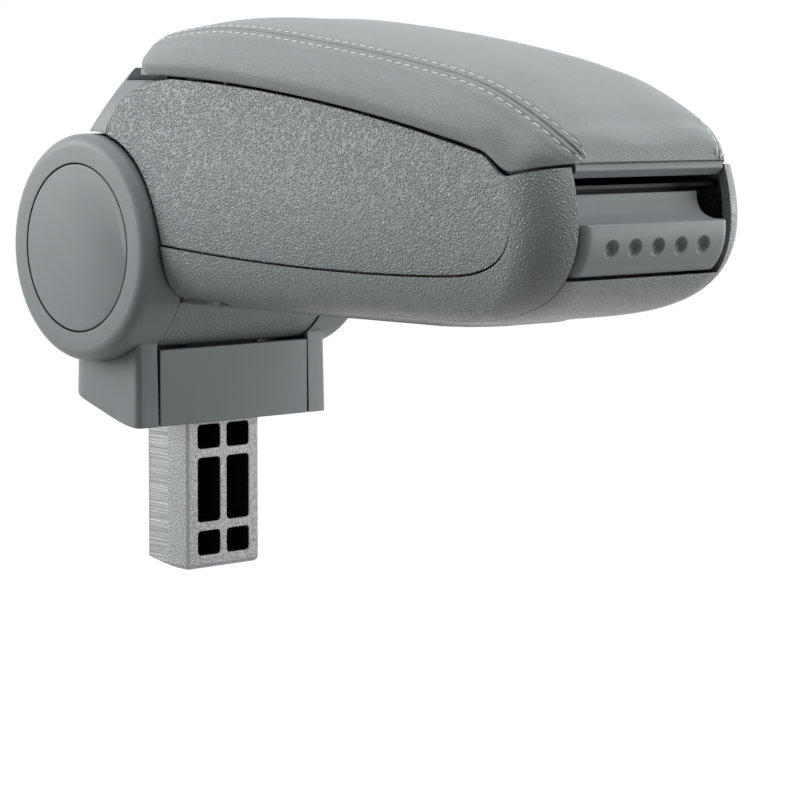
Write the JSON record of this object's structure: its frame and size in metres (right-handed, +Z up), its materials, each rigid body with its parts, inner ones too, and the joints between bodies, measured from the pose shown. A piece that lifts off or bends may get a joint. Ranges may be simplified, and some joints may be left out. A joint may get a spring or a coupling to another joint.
{
  "type": "folding car centre armrest",
  "caption": "Padded car armrest with a hinged lid over a storage tub, sprung release handle, and a round-hub stand on a ribbed cast post that slides into a pedestal.",
  "frame": {"origin": "on the plane of the neck's lowest edge, straight below the pivot axis, where the post leaves the neck", "axes": "+Z up along the post, nose of the arm towards -Y, pivot axis along X"},
  "size_m": [0.142, 0.3575, 0.2638],
  "materials": {
    "grained_plastic": "moulded leather grain",
    "satin_plastic": "smooth satin",
    "leatherette": "fine grain, soft sheen",
    "cast_aluminium": "as cast, saw-cut sides",
    "steel": "bright zinc",
    "nylon": "natural",
    "black_plastic": "fine matt",
    "rubber": "matt"
  },
  "bodies": {
    "stand": {"stand_left": "satin_plastic", "stand_right": "satin_plastic", "neck_front_panel": "satin_plastic", "pivot_shroud": "satin_plastic", "hub_cap_left": "satin_plastic", "hub_cap_right": "satin_plastic", "mounting_post": "cast_aluminium", "pivot_axle": "steel", "axle_nut": "steel", "axle_washers": "steel", "friction_washers": "nylon", "stand_screws": "steel"},
    "arm": {"arm_tray": "grained_plastic", "cheek_left": "grained_plastic", "cheek_right": "grained_plastic", "inlay_left": "grained_plastic", "inlay_right": "grained_plastic", "rear_cover": "satin_plastic", "storage_tub": "black_plastic", "pivot_bushes": "nylon", "tub_screws": "steel", "handle_pin": "steel", "lid_hinge_pin": "steel", "lid_buffers": "rubber"},
    "lid": {"lid_base": "satin_plastic", "lid_pad": "leatherette", "pad_screws": "steel"},
    "handle": {"release_handle": "satin_plastic", "handle_spring": "steel"}
  },
  "joints": [
    {"name": "arm_fold", "type": "hinge", "parent": "stand", "child": "arm", "pos_m": [0, 0, 0.084], "axis": [-1, 0, 0], "range_deg": [0, 100]},
    {"name": "lid_open", "type": "hinge", "parent": "arm", "child": "lid", "pos_m": [0, -0.0205, 0.167], "axis": [-1, 0, 0], "range_deg": [0, 80]},
    {"name": "handle_pull", "type": "hinge", "parent": "arm", "child": "handle", "pos_m": [0, -0.292, 0.089], "axis": [1, 0, 0], "range_deg": [0, 18], "stiffness_Nm_per_rad": 0.3, "springref_deg": -20.05, "deforming": ["handle_spring"]}
  ]
}
